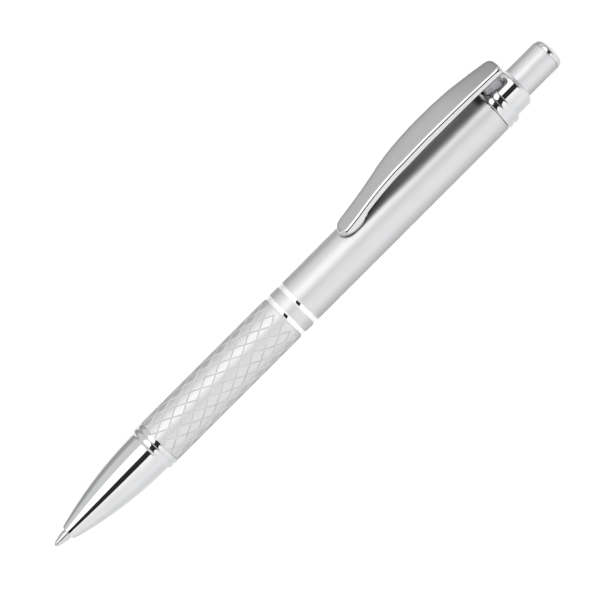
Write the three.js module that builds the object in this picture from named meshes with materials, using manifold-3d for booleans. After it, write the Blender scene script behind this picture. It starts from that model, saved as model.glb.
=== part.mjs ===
// Retractable ballpoint pen lying on a table: point out, clip upwards.
// Millimetres. +X runs along the pen from the point to the button, +Z is up through the clip.
// Stations along the pen are counted from the nose opening and moved to the origin at the end.

import * as THREE from "three";
import { mergeVertices } from "three/addons/utils/BufferGeometryUtils.js";
import Module from "manifold-3d";

const wasm = await Module();
wasm.setup();

// Stations along the axis, from the nose opening.
const BALL_END = -3.66;
const NOSE_OGIVE_END = 23.1;
const NOSE_BEAD_SPLIT = 24.8;
const GRIP_START = 26.0;
const GRIP_END = 60.84;
const BAND_START = 62.02;
const BAND_END = 64.38;
const UPPER_START = 65.58;
const UPPER_END = 119.5;
const COLLAR_SPLIT = 121.0;
const COLLAR_END = 122.5;
const CAP_END = 127.0;
const BUTTON_CAP_START = 135.1;
const BUTTON_END = 136.8;
const REFILL_END = 94.44;
const NOSE_SPIGOT_END = 33;
const REFILL_CONE_START = 5.7;
const REFILL_SHOULDER = 24.6;
const REFILL_CONE_END = 31;
const REFILL_TUBE_START = 27.7;
const REFILL_TUBE_END = 92.3;
const REFILL_PLUG_START = 88.5;
const BUTTON_START = 113;
const BUTTON_PLUG_START = 131.5;

// Radii.
const BARREL_R = 5.2;
const UPPER_R = 5.13;
const BAND_R = 5.15;
const BARREL_BORE_R = 4.3;
const SPIGOT_R = 4.23;
const SPIGOT_BORE_R = 3.35;
const SPRING_CHAMBER_R = 2.65;
const RING_R = 5.05;
const NOSE_OPENING_R = 1.65;
const NOSE_END_R = 4.95;
const NECK_R = 4.7;
const NECK_LENGTH = 0.16;
const NOSE_BEAD_1_R = 5.36;
const NOSE_BEAD_2_R = 5.38;
const COLLAR_BEAD_1_R = 5.34;
const COLLAR_BEAD_2_R = 5.36;
const CAP_R = 4.5;
const CAP_CORNER_R = 1.0;
const BUTTON_R = 3.42;
const PUSH_FACE_R = 1.2;
const TIP_R = 1.08;
const TIP_BORE_R = 1.2;
const TIP_REAR = 5.6;
const BALL_R = 0.35;
const REFILL_R = 2.95;
const REFILL_FRONT_R = 1.6;
const REFILL_SPIGOT_R = 2.5;
const REFILL_TUBE_BORE_R = 2.56;
const INK_CHANNEL_R = 0.8;
const BUTTON_BORE_R = 3.05;
const BUTTON_PLUG_R = 2.98;
const THRUST_STEM_R = 2.95;
const THRUST_BORE_R = 2.1;

// Fits.
const FACE_GAP = 0.02;
const SLIDE_GAP = 0.1;
const CLIP_GAP = 0.12;
const WELD_DISTANCE = 1e-5;

// Clip. The lines are stations with heights over the axis, or with half widths.
const CLIP_TIP = 80.4;
const CLIP_END = 126.1;
const CLIP_THICKNESS = 1.65;
const CLIP_ROOT_THICKNESS = 1.35;
const CLIP_TAPER_START = 106.5;
const CLIP_TOP_LINE = [
  [CLIP_TIP, 6.1], [81.0, 6.5], [82.0, 6.95], [84.8, 7.5], [90.5, 8.8], [96.2, 10.0],
  [101.0, 10.5], [106.5, 10.75], [114.7, 10.5], [121.6, 9.75], [CLIP_END, 9.1],
];
const CLIP_FOOT_LINE = [
  [CLIP_TIP, 5.35], [82.0, 5.17], [83.0, 4.8], [84.2, 4.65], [85.6, 5.2], [86.8, 6.1], [87.9, 6.75],
];
const CLIP_HALF_WIDTHS = [
  [80.8, 0.8], [81.3, 1.27], [82.1, 1.69], [83.2, 1.88], [90.5, 2.12], [96.2, 2.6], [99.9, 2.87],
  [106.6, 3.02], [110.7, 3.03], [114.7, 2.95], [117.8, 2.78], [121.6, 2.53], [125.4, 2.25],
];
const CLIP_END_HALF_WIDTH = 1.6;
const CLIP_POST = { start: 119.9, end: 125.2, halfWidth: 1.45, top: 8.9 };
const CLIP_TENON = { start: 122.9, end: 124.6, halfWidth: 1.0, low: 3.75, slotFloor: 2.5 };

// Spring.
const SPRING = { start: 10.5, end: 24.3, meanR: 2.2, wireR: 0.2, turns: 8, stepsPerTurn: 14 };

// Click mechanism.
const TEETH = 6;
const TOOTH_DEPTH = 1.1;
const ROTOR_START = 94.6;
const ROTOR_END = 99.8;
const THRUST_START = 100.2;
const THRUST_END = 131.2;
const HOUSING_START = 91.2;
const HOUSING_END = 112.0;
const HOUSING_BORE_R = 3.75;
const MOVER_R = 3.6;
const CAP_SPIGOT_START = 112.2;
const FLANGE_END = 107.0;

// Even counts that 4 doesn't divide: turned pieces have a flat underneath and corners at the two sides.
const OUTER_SEGMENTS = 42;
const INNER_SEGMENTS = 30;
const AXIS_HEIGHT = NOSE_BEAD_2_R * Math.cos(Math.PI / OUTER_SEGMENTS);

function material(color, roughness, metalness) {
  return new THREE.MeshStandardMaterial({ color, roughness, metalness });
}

const CHROME = () => material(0xd8dadd, 0.08, 1);
const SATIN = () => material(0xcfd0d3, 0.35, 0.9);
const BRUSHED = () => material(0xb9babc, 0.3, 1);
const BRASS = () => material(0xc9a962, 0.3, 1);
const STEEL = () => material(0xb4b7bb, 0.25, 1);
const NYLON = () => material(0xece9e2, 0.55, 0);
const BLACK_PLASTIC = () => material(0x26272a, 0.5, 0);

function at(station, radius) {
  return new THREE.Vector2(radius, station);
}

// Turned piece: a profile of stations and radii, revolved round the pen's axis, with a facet at the bottom.
function turned(profile, segments) {
  const geometry = new THREE.LatheGeometry(profile, segments);
  geometry.rotateZ(-Math.PI / 2);
  geometry.rotateX(Math.PI / segments);
  return geometry;
}

// Turned sleeve: the outer profile and the inner profile, both from front to rear.
function sleeve(outer, inner, segments = OUTER_SEGMENTS) {
  const profile = [...outer, ...inner.toReversed(), outer[0]];
  return turned(profile, segments);
}

function plainSleeve(start, end, outerR, innerR, segments = OUTER_SEGMENTS) {
  return sleeve([at(start, outerR), at(end, outerR)], [at(start, innerR), at(end, innerR)], segments);
}

// Half-round bead between two stations, standing from one root radius up to its crown.
function bead(start, end, rootR, crownR, steps = 6) {
  const points = [];
  for (let i = 0; i <= steps; i++) {
    const angle = (Math.PI * i) / steps;
    const station = (start + end) / 2 - ((end - start) / 2) * Math.cos(angle);
    points.push(at(station, rootR + (crownR - rootR) * Math.sin(angle) ** 0.6));
  }
  return points;
}

// Quarter-round corner, from the side wall at cornerR before the end to the end face.
function roundedEnd(end, sideR, cornerR, steps = 4) {
  const points = [];
  for (let i = 0; i <= steps; i++) {
    const angle = (Math.PI / 2) * (i / steps);
    points.push(at(end - cornerR + cornerR * Math.sin(angle), sideR - cornerR + cornerR * Math.cos(angle)));
  }
  return points;
}

// Nose outline: a parabola that leaves the opening steeply and ends level with the barrel.
function noseRadius(station) {
  const left = 1 - station / NOSE_OGIVE_END;
  return NOSE_END_R - (NOSE_END_R - NOSE_OPENING_R) * left * left;
}

function toSolid(geometry) {
  const bare = geometry.clone();
  bare.deleteAttribute("normal");
  bare.deleteAttribute("uv");
  const merged = mergeVertices(bare, WELD_DISTANCE);
  return new wasm.Manifold(
    new wasm.Mesh({
      numProp: 3,
      vertProperties: merged.attributes.position.array,
      triVerts: merged.index.array,
    }),
  );
}

function toGeometry(solid) {
  const mesh = solid.getMesh();
  const geometry = new THREE.BufferGeometry();
  geometry.setAttribute("position", new THREE.BufferAttribute(mesh.vertProperties, 3));
  geometry.setIndex(new THREE.BufferAttribute(mesh.triVerts, 1));
  geometry.computeVertexNormals();
  return geometry;
}

// Box given by its lowest and highest corners.
function box(low, high) {
  const geometry = new THREE.BoxGeometry(high[0] - low[0], high[1] - low[1], high[2] - low[2]);
  geometry.translate((low[0] + high[0]) / 2, (low[1] + high[1]) / 2, (low[2] + high[2]) / 2);
  return geometry;
}

function noseCone() {
  const outer = [at(0, NOSE_OPENING_R - 0.25)];
  const steps = 10;
  for (let i = 0; i <= steps; i++) {
    const station = 0.2 + (NOSE_OGIVE_END - 0.2) * (i / steps);
    outer.push(at(station, noseRadius(station)));
  }
  outer.push(...bead(NOSE_OGIVE_END + FACE_GAP, NOSE_BEAD_SPLIT, NOSE_END_R, NOSE_BEAD_1_R));
  outer.push(...bead(NOSE_BEAD_SPLIT + FACE_GAP, GRIP_START - NECK_LENGTH, NOSE_END_R, NOSE_BEAD_2_R));
  outer.push(at(GRIP_START - NECK_LENGTH, NECK_R), at(GRIP_START - FACE_GAP, NECK_R));
  outer.push(at(GRIP_START - FACE_GAP, SPIGOT_R), at(NOSE_SPIGOT_END, SPIGOT_R));
  const inner = [
    at(0, TIP_BORE_R),
    at(3.9, TIP_BORE_R),
    at(4.1, REFILL_FRONT_R + SLIDE_GAP),
    at(10.2, REFILL_FRONT_R + SLIDE_GAP),
    at(10.3, SPRING_CHAMBER_R),
    at(21.2, SPRING_CHAMBER_R),
    at(22.6, SPIGOT_BORE_R),
    at(NOSE_SPIGOT_END, SPIGOT_BORE_R),
  ];
  return sleeve(outer, inner);
}

function gripBarrel() {
  return plainSleeve(GRIP_START, GRIP_END, BARREL_R, BARREL_BORE_R);
}

function upperBarrel() {
  return plainSleeve(UPPER_START, UPPER_END, UPPER_R, BARREL_BORE_R);
}

function ring(start, end, radius) {
  return plainSleeve(start + FACE_GAP, end - FACE_GAP, radius, BARREL_BORE_R);
}

function barrelCoupling() {
  return plainSleeve(54, 72, SPIGOT_R, 3.4);
}

function clipCollar() {
  const outer = [
    ...bead(UPPER_END + FACE_GAP, COLLAR_SPLIT, RING_R - 0.15, COLLAR_BEAD_1_R),
    ...bead(COLLAR_SPLIT + FACE_GAP, COLLAR_END - FACE_GAP, RING_R - 0.15, COLLAR_BEAD_2_R),
  ];
  const inner = [at(UPPER_END + FACE_GAP, BARREL_BORE_R), at(COLLAR_END - FACE_GAP, BARREL_BORE_R)];
  return sleeve(outer, inner);
}

// The cap's spigot goes through the collar into the barrel. A slot in its top takes the clip's tenon.
function endCap() {
  const outer = [
    at(CAP_SPIGOT_START, SPIGOT_R),
    at(COLLAR_END, SPIGOT_R),
    at(COLLAR_END, CAP_R),
    ...roundedEnd(CAP_END, CAP_R, CAP_CORNER_R - 0.1),
  ];
  const inner = [at(CAP_SPIGOT_START, BUTTON_R + SLIDE_GAP), at(CAP_END, BUTTON_R + SLIDE_GAP)];
  const t = CLIP_TENON;
  const slotSide = t.halfWidth + CLIP_GAP;
  const slot = box([t.start - CLIP_GAP, -slotSide, t.slotFloor], [t.end + CLIP_GAP, slotSide, CAP_R + 1]);
  return toGeometry(toSolid(sleeve(outer, inner)).subtract(toSolid(slot)));
}

function curveThrough(pairs, pointCount) {
  const curve = new THREE.SplineCurve(pairs.map(([station, value]) => new THREE.Vector2(station, value)));
  return curve.getPoints(pointCount);
}

// The blade thins from the middle of its arch to the root.
function clipThickness(station) {
  const part = Math.max(0, (station - CLIP_TAPER_START) / (CLIP_END - CLIP_TAPER_START));
  return CLIP_THICKNESS + (CLIP_ROOT_THICKNESS - CLIP_THICKNESS) * part;
}

// Side view of the clip: an arched plate that comes down to a foot under the tip.
function clipSide() {
  const top = curveThrough(CLIP_TOP_LINE, 40);
  const foot = curveThrough(CLIP_FOOT_LINE, 18);
  const footEnd = foot[foot.length - 1].x + 0.6;
  const over = top.filter((p) => p.x > footEnd);
  const plate = over.map((p) => new THREE.Vector2(p.x, p.y - clipThickness(p.x)));
  return new THREE.Shape([...top, ...plate.toReversed(), ...foot.toReversed()]);
}

// Plan view of the clip: a rounded tip, widest past the middle, narrower again at the root.
function clipPlan() {
  const half = curveThrough(CLIP_HALF_WIDTHS, 36);
  half.push(new THREE.Vector2(CLIP_END, CLIP_END_HALF_WIDTH));
  const far = half.map((p) => new THREE.Vector2(p.x, -p.y)).toReversed();
  const tip = [new THREE.Vector2(CLIP_TIP, -0.2), new THREE.Vector2(CLIP_TIP, 0.2)];
  return new THREE.Shape([...tip, ...half, ...far]);
}

// Plan view of the root post: straight sides and round ends.
function postPlan() {
  const { start, end, halfWidth } = CLIP_POST;
  const shape = new THREE.Shape();
  shape.absarc(end - halfWidth, 0, halfWidth, -Math.PI / 2, Math.PI / 2);
  shape.absarc(start + halfWidth, 0, halfWidth, Math.PI / 2, (3 * Math.PI) / 2);
  return shape;
}

// The side view and the plan view are crossed for the blade, and the post and its tenon are added.
// The underside is cut to clear the barrel, the collar and the cap.
function clip() {
  const width = 8;
  const height = 12;
  const sideSolid = new THREE.ExtrudeGeometry(clipSide(), { depth: width, bevelEnabled: false });
  sideSolid.rotateX(Math.PI / 2);
  sideSolid.translate(0, width / 2, 0);
  const planSolid = new THREE.ExtrudeGeometry(clipPlan(), { depth: height, bevelEnabled: false });
  const postOptions = { depth: CLIP_POST.top, bevelEnabled: false, curveSegments: 10 };
  const post = new THREE.ExtrudeGeometry(postPlan(), postOptions);
  const barrelR = UPPER_R + CLIP_GAP;
  const collarR = COLLAR_BEAD_2_R + CLIP_GAP;
  const capR = CAP_R + CLIP_GAP;
  const step = COLLAR_END + CLIP_GAP;
  const saddle = turned(
    [
      at(CLIP_TIP - 1, 0), at(CLIP_TIP - 1, barrelR), at(UPPER_END - 1, barrelR), at(UPPER_END - 1, collarR),
      at(step, collarR), at(step, capR), at(CLIP_END + 1, capR), at(CLIP_END + 1, 0),
    ],
    OUTER_SEGMENTS,
  );
  const t = CLIP_TENON;
  const tenon = box([t.start, -t.halfWidth, t.low], [t.end, t.halfWidth, CAP_R + 0.6]);
  const blade = toSolid(sideSolid).intersect(toSolid(planSolid));
  return toGeometry(blade.add(toSolid(post)).subtract(toSolid(saddle)).add(toSolid(tenon)));
}

function buttonSleeve() {
  return plainSleeve(BUTTON_START, BUTTON_CAP_START - FACE_GAP, BUTTON_R, BUTTON_BORE_R);
}

// Half of an ellipse, cut off by a small flat push face, with a plug that goes into the button sleeve.
function buttonEndCap() {
  const profile = [
    at(BUTTON_PLUG_START, 0),
    at(BUTTON_PLUG_START, BUTTON_PLUG_R),
    at(BUTTON_CAP_START, BUTTON_PLUG_R),
    at(BUTTON_CAP_START, BUTTON_R),
  ];
  const domeStart = BUTTON_CAP_START + 0.1;
  const faceAngle = Math.acos(PUSH_FACE_R / BUTTON_R);
  const steps = 9;
  for (let i = 0; i <= steps; i++) {
    const angle = (faceAngle * i) / steps;
    const rise = ((BUTTON_END - domeStart) * Math.sin(angle)) / Math.sin(faceAngle);
    profile.push(at(domeStart + rise, BUTTON_R * Math.cos(angle)));
  }
  profile.push(at(BUTTON_END, 0));
  return turned(profile, OUTER_SEGMENTS);
}

// Ring of saw teeth: wedges cut from the end face of a turned piece.
function cutTeeth(geometry, faceStation, direction, turn) {
  let solid = toSolid(geometry);
  for (let i = 0; i < TEETH; i++) {
    const pitch = (2 * Math.PI * REFILL_R) / TEETH;
    const wedge = new THREE.Shape([
      new THREE.Vector2(0.2 * direction, -pitch * 0.42),
      new THREE.Vector2(0.2 * direction, pitch * 0.42),
      new THREE.Vector2(-TOOTH_DEPTH * direction, pitch * 0.42),
    ]);
    const cutter = new THREE.ExtrudeGeometry(wedge, { depth: 3, bevelEnabled: false });
    cutter.translate(faceStation, 0, 1.6);
    cutter.rotateX(turn + (2 * Math.PI * i) / TEETH);
    solid = solid.subtract(toSolid(cutter));
  }
  return toGeometry(solid);
}

function thrustTube() {
  const outer = [
    at(THRUST_START, MOVER_R),
    at(FLANGE_END, MOVER_R),
    at(FLANGE_END, THRUST_STEM_R),
    at(THRUST_END, THRUST_STEM_R),
  ];
  const inner = [at(THRUST_START, THRUST_BORE_R), at(THRUST_END, THRUST_BORE_R)];
  return cutTeeth(sleeve(outer, inner, INNER_SEGMENTS), THRUST_START, -1, 0);
}

function camRotor() {
  const body = turned(
    [at(ROTOR_START, 0), at(ROTOR_START, 2.4), at(95.6, MOVER_R), at(ROTOR_END, MOVER_R), at(ROTOR_END, 0)],
    INNER_SEGMENTS,
  );
  return cutTeeth(body, ROTOR_END, 1, Math.PI / TEETH);
}

function mechanismHousing() {
  const outer = [at(HOUSING_START, SPIGOT_R), at(HOUSING_END, SPIGOT_R)];
  const lip = REFILL_R + 0.15;
  const inner = [
    at(HOUSING_START, lip),
    at(92.6, lip),
    at(92.8, HOUSING_BORE_R),
    at(HOUSING_END, HOUSING_BORE_R),
  ];
  return sleeve(outer, inner, INNER_SEGMENTS);
}

// The tip narrows in two steps to a socket that holds the ball. Distances are from the front of the ball.
function refillTip() {
  const socketR = BALL_R + 0.03;
  const outer = [
    [0.3, 0.44], [0.55, 0.6], [0.95, 0.7], [1.4, 0.79], [1.95, 0.93], [2.6, TIP_R],
  ].map(([distance, radius]) => at(BALL_END + distance, radius));
  outer.push(at(TIP_REAR, TIP_R));
  const inner = [at(BALL_END + 0.3, socketR), at(BALL_END + 2 * BALL_R + 0.1, socketR), at(TIP_REAR, 0.5)];
  return sleeve(outer, inner, INNER_SEGMENTS);
}

function writingBall() {
  const geometry = new THREE.SphereGeometry(BALL_R, 16, 12);
  geometry.translate(BALL_END + BALL_R, 0, 0);
  return geometry;
}

function refillCone() {
  const outer = [
    at(REFILL_CONE_START, REFILL_FRONT_R - 0.2),
    at(REFILL_CONE_START + 0.3, REFILL_FRONT_R),
    at(REFILL_SHOULDER, REFILL_FRONT_R),
    at(REFILL_SHOULDER, REFILL_SPIGOT_R),
    at(REFILL_TUBE_START - 0.7, REFILL_R),
    at(REFILL_TUBE_START - 0.1, REFILL_R),
    at(REFILL_TUBE_START - 0.1, REFILL_SPIGOT_R),
    at(REFILL_CONE_END, REFILL_SPIGOT_R),
  ];
  const inner = [
    at(REFILL_CONE_START, INK_CHANNEL_R),
    at(REFILL_TUBE_START - 1.7, INK_CHANNEL_R),
    at(REFILL_TUBE_START - 0.2, REFILL_SPIGOT_R - 0.5),
    at(REFILL_CONE_END, REFILL_SPIGOT_R - 0.5),
  ];
  return sleeve(outer, inner, INNER_SEGMENTS);
}

function refillTube() {
  return plainSleeve(REFILL_TUBE_START, REFILL_TUBE_END, REFILL_R, REFILL_TUBE_BORE_R, INNER_SEGMENTS);
}

function refillEndPlug() {
  const profile = [
    at(REFILL_PLUG_START, 0),
    at(REFILL_PLUG_START, REFILL_SPIGOT_R),
    at(REFILL_TUBE_END + 0.1, REFILL_SPIGOT_R),
    at(REFILL_TUBE_END + 0.1, REFILL_R),
    at(REFILL_END, REFILL_R),
    at(REFILL_END, 0),
  ];
  return turned(profile, INNER_SEGMENTS);
}

class Coil extends THREE.Curve {
  getPoint(t, target = new THREE.Vector3()) {
    const angle = 2 * Math.PI * SPRING.turns * t;
    const station = SPRING.start + SPRING.wireR + (SPRING.end - SPRING.start - 2 * SPRING.wireR) * t;
    return target.set(station, SPRING.meanR * Math.cos(angle), SPRING.meanR * Math.sin(angle));
  }
}

function returnSpring() {
  const section = new THREE.Shape();
  section.absarc(0, 0, SPRING.wireR, 0, 2 * Math.PI);
  return new THREE.ExtrudeGeometry(section, {
    steps: SPRING.turns * SPRING.stepsPerTurn,
    curveSegments: 3,
    extrudePath: new Coil(),
  });
}

const PIECES = [
  ["nose_cone", noseCone, CHROME],
  ["grip_barrel", gripBarrel, SATIN],
  ["lower_trim_ring", () => ring(GRIP_END, BAND_START, RING_R), CHROME],
  ["centre_band", () => ring(BAND_START, BAND_END, BAND_R), SATIN],
  ["upper_trim_ring", () => ring(BAND_END, UPPER_START, RING_R), CHROME],
  ["barrel_coupling", barrelCoupling, BRASS],
  ["upper_barrel", upperBarrel, SATIN],
  ["clip_collar", clipCollar, CHROME],
  ["end_cap", endCap, CHROME],
  ["clip", clip, BRUSHED],
  ["button_sleeve", buttonSleeve, SATIN],
  ["button_end_cap", buttonEndCap, CHROME],
  ["thrust_tube", thrustTube, NYLON],
  ["cam_rotor", camRotor, NYLON],
  ["mechanism_housing", mechanismHousing, BLACK_PLASTIC],
  ["refill_tip", refillTip, STEEL],
  ["writing_ball", writingBall, STEEL],
  ["refill_cone", refillCone, BRASS],
  ["refill_tube", refillTube, STEEL],
  ["refill_end_plug", refillEndPlug, NYLON],
  ["return_spring", returnSpring, STEEL],
];

const pen = new THREE.Group();
for (const [name, make, finish] of PIECES) {
  const mesh = new THREE.Mesh(make(), finish());
  mesh.name = name;
  pen.add(mesh);
}
pen.position.set(-(BALL_END + BUTTON_END) / 2, 0, AXIS_HEIGHT);

export default pen;
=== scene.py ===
# Looks of the retractable ballpoint pen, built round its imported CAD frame.
# The frame's axes: +X from the point to the button, +Z up through the clip. Lengths here are in millimetres
# from the nose opening, and turn into metres when a mesh is made.
import math

import bmesh
import bpy
from mathutils import Matrix, Vector


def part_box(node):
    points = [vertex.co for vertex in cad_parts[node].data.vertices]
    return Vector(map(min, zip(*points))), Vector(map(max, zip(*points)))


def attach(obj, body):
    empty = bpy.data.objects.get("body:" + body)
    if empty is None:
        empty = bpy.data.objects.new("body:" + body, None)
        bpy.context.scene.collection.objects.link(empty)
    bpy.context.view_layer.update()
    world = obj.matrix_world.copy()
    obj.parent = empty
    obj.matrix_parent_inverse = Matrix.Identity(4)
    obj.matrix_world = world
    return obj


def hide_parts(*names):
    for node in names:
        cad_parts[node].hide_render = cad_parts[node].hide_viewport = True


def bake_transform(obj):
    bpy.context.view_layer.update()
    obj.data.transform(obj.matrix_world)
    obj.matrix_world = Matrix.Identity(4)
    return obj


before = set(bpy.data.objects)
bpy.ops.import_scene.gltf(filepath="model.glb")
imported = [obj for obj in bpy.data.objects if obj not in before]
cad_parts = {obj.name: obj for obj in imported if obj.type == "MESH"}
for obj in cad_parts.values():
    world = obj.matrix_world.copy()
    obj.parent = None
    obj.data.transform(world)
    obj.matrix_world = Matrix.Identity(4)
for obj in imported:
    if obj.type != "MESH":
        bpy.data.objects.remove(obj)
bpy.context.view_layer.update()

MM = 0.001
NOSE_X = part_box("nose_cone")[0][0]
AXIS_Z = (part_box("grip_barrel")[0][2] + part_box("grip_barrel")[1][2]) / 2
SEGMENTS = 240


def span(node):
    """First and last station of a CAD node along the pen, in mm from the nose opening."""
    low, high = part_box(node)
    return (low[0] - NOSE_X) / MM, (high[0] - NOSE_X) / MM


def radius(node):
    low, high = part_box(node)
    return (high[1] - low[1]) / 2 / MM


def frame_x(station):
    """X of a station in the frame's metres."""
    return NOSE_X + station * MM


def on_axis(station):
    """The place of a station on the pen's axis, in the frame's metres."""
    return (frame_x(station), 0, AXIS_Z)


GRIP = span("grip_barrel")
BAND = span("centre_band")
UPPER = span("upper_barrel")
COLLAR = span("clip_collar")
CAP_END = span("end_cap")[1]
CLIP = span("clip")
BUTTON_CAP_END = span("button_end_cap")[1]
BUTTON_SLEEVE = span("button_sleeve")
BALL_END = span("writing_ball")[0]
BARREL_R = radius("grip_barrel")
UPPER_R = radius("upper_barrel")
CAP_R = radius("end_cap") + 0.1
BUTTON_R = radius("button_sleeve")
RING_R = radius("lower_trim_ring")
TIP_R = radius("refill_tip")
BORE_R = 4.3


# ---------------------------------------------------------------- camera
VIEW_FROM_CLIP = math.radians(42.0)
VIEW_ROLL = math.radians(45.0)
CAMERA_DISTANCE = 0.525
FIELD_WIDTH = 0.120
SENSOR_WIDTH = 36.0
AIM_STATION = 65.68
AIM_ABOVE_AXIS = 0.00014


def make_camera():
    """Camera in front of the clip and above it, rolled so that the pen climbs to the upper right."""
    data = bpy.data.cameras.new("camera")
    data.sensor_width = SENSOR_WIDTH
    data.lens = SENSOR_WIDTH * CAMERA_DISTANCE / FIELD_WIDTH
    data.clip_start = 0.01
    data.clip_end = 20.0
    camera = bpy.data.objects.new("camera", data)
    bpy.context.scene.collection.objects.link(camera)
    bpy.context.scene.camera = camera
    back = Vector((0, -math.sin(VIEW_FROM_CLIP), math.cos(VIEW_FROM_CLIP)))
    along = Vector((1, 0, 0))
    across = Vector((0, math.cos(VIEW_FROM_CLIP), math.sin(VIEW_FROM_CLIP)))
    right = math.cos(VIEW_ROLL) * along - math.sin(VIEW_ROLL) * across
    up = math.sin(VIEW_ROLL) * along + math.cos(VIEW_ROLL) * across
    aim = Vector(on_axis(AIM_STATION)) + across * AIM_ABOVE_AXIS
    place = aim + back * CAMERA_DISTANCE
    camera.matrix_world = Matrix((
        (right.x, up.x, back.x, place.x),
        (right.y, up.y, back.y, place.y),
        (right.z, up.z, back.z, place.z),
        (0, 0, 0, 1),
    ))


make_camera()


# ---------------------------------------------------------------- node helpers
def new_material(name):
    material = bpy.data.materials.new(name)
    material.use_nodes = True
    tree = material.node_tree
    shader = tree.nodes["Principled BSDF"]
    return material, tree, shader


def add(tree, kind, **values):
    node = tree.nodes.new(kind)
    for key, value in values.items():
        setattr(node, key, value)
    return node


def link(tree, a, b):
    tree.links.new(a, b)


def object_coords(tree, scale):
    """Object coordinates stretched by a scale for each axis."""
    coords = add(tree, "ShaderNodeTexCoord")
    mapping = add(tree, "ShaderNodeMapping")
    mapping.inputs["Scale"].default_value = scale
    link(tree, coords.outputs["Object"], mapping.inputs["Vector"])
    return mapping.outputs["Vector"]


def noise(tree, vector, scale, detail=3.0, rough=0.5):
    node = add(tree, "ShaderNodeTexNoise")
    node.inputs["Scale"].default_value = scale
    node.inputs["Detail"].default_value = detail
    node.inputs["Roughness"].default_value = rough
    link(tree, vector, node.inputs["Vector"])
    return node.outputs["Fac"]


def remap(tree, value, low, high, out_low, out_high):
    node = add(tree, "ShaderNodeMapRange")
    node.inputs["From Min"].default_value = low
    node.inputs["From Max"].default_value = high
    node.inputs["To Min"].default_value = out_low
    node.inputs["To Max"].default_value = out_high
    link(tree, value, node.inputs["Value"])
    return node.outputs["Result"]


def ramp(tree, value, stops):
    """Grey ramp through (position, value) stops."""
    node = add(tree, "ShaderNodeValToRGB")
    elements = node.color_ramp.elements
    while len(elements) < len(stops):
        elements.new(0.5)
    for element, (position, grey) in zip(elements, stops):
        element.position = position
        element.color = (grey, grey, grey, 1)
    link(tree, value, node.inputs[0])
    return node.outputs[0]


def math_node(tree, operation, *values):
    node = add(tree, "ShaderNodeMath", operation=operation)
    for socket, value in zip(node.inputs, values):
        if isinstance(value, (int, float)):
            socket.default_value = value
        else:
            link(tree, value, socket)
    return node.outputs[0]


def mix(tree, share, a, b, blend="MIX"):
    """Mix of two colours. The share and the colours are values or sockets."""
    node = add(tree, "ShaderNodeMix", data_type="RGBA", blend_type=blend)
    for name, value in (("Factor", share), ("A", a), ("B", b)):
        if isinstance(value, bpy.types.NodeSocket):
            link(tree, value, node.inputs[name])
        else:
            node.inputs[name].default_value = value
    return node.outputs["Result"]


def axes(tree, vector):
    """The X, Y and Z of a vector as separate sockets."""
    node = add(tree, "ShaderNodeSeparateXYZ")
    link(tree, vector, node.inputs[0])
    return node.outputs


def normal_axes(tree):
    """X, Y and Z of the surface's direction."""
    return axes(tree, add(tree, "ShaderNodeNewGeometry").outputs["Normal"])


def place_axes(tree):
    """X, Y and Z of the place on the piece, in the frame's metres."""
    return axes(tree, add(tree, "ShaderNodeTexCoord").outputs["Object"])


def bump(tree, height, strength, distance, normal=None):
    node = add(tree, "ShaderNodeBump")
    node.inputs["Strength"].default_value = strength
    node.inputs["Distance"].default_value = distance
    link(tree, height, node.inputs["Height"])
    if normal is not None:
        link(tree, normal, node.inputs["Normal"])
    return node.outputs["Normal"]


# ---------------------------------------------------------------- materials
def tinted(tree, shader, fac, dark, light):
    """Base colour between two tones."""
    link(tree, mix(tree, fac, (*dark, 1), (*light, 1)), shader.inputs["Base Color"])


def shade_facing_down(tree, high, low, lowest_shade):
    """Factor of painted shade that darkens the sides that turn towards the table, between two heights of the
    normal.
    """
    return remap(tree, normal_axes(tree)["Z"], high, low, 1, lowest_shade)


def shade_facing_back(tree):
    """Factor of painted shade that darkens the lacquer's colour a little on the side away from the light."""
    return remap(tree, normal_axes(tree)["Y"], 0.05, 0.45, 1, 0.76)


def darken(tree, shader, factor):
    """Multiply the base colour by a factor."""
    base = shader.inputs["Base Color"].links[0].from_socket
    link(tree, mix(tree, 1, base, factor, "MULTIPLY"), shader.inputs["Base Color"])


def chrome(name, dark, light, lowest_shade=1.0):
    """Bright nickel-chrome plating: almost a mirror, with faint polishing marks and smudges, and painted
    shade on the sides that face down.
    """
    material, tree, shader = new_material(name)
    shader.inputs["Metallic"].default_value = 1.0
    vector = object_coords(tree, (1, 1, 1))
    cloud = noise(tree, vector, 160, 3)
    tinted(tree, shader, remap(tree, cloud, 0.3, 0.7, 0, 1), dark, light)
    # Painted shade: the base colour darkens on the sides that face down.
    darken(tree, shader, shade_facing_down(tree, 0.2, -0.15, lowest_shade))
    marks = noise(tree, object_coords(tree, (14, 1, 1)), 900, 4)
    smudges = remap(tree, cloud, 0.35, 0.7, 0.6, 1.4)
    polish = remap(tree, marks, 0.3, 0.7, 0.03, 0.075)
    link(tree, math_node(tree, "MULTIPLY", smudges, polish), shader.inputs["Roughness"])
    link(tree, bump(tree, marks, 0.04, 0.00002), shader.inputs["Normal"])
    return material


# The ring's painted reflection: the direction that its mirror band faces, and the half widths of the band.
RING_SHEEN_FACING = math.radians(43.5)
RING_SHEEN_HALF = (math.radians(13), math.radians(19))


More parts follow.
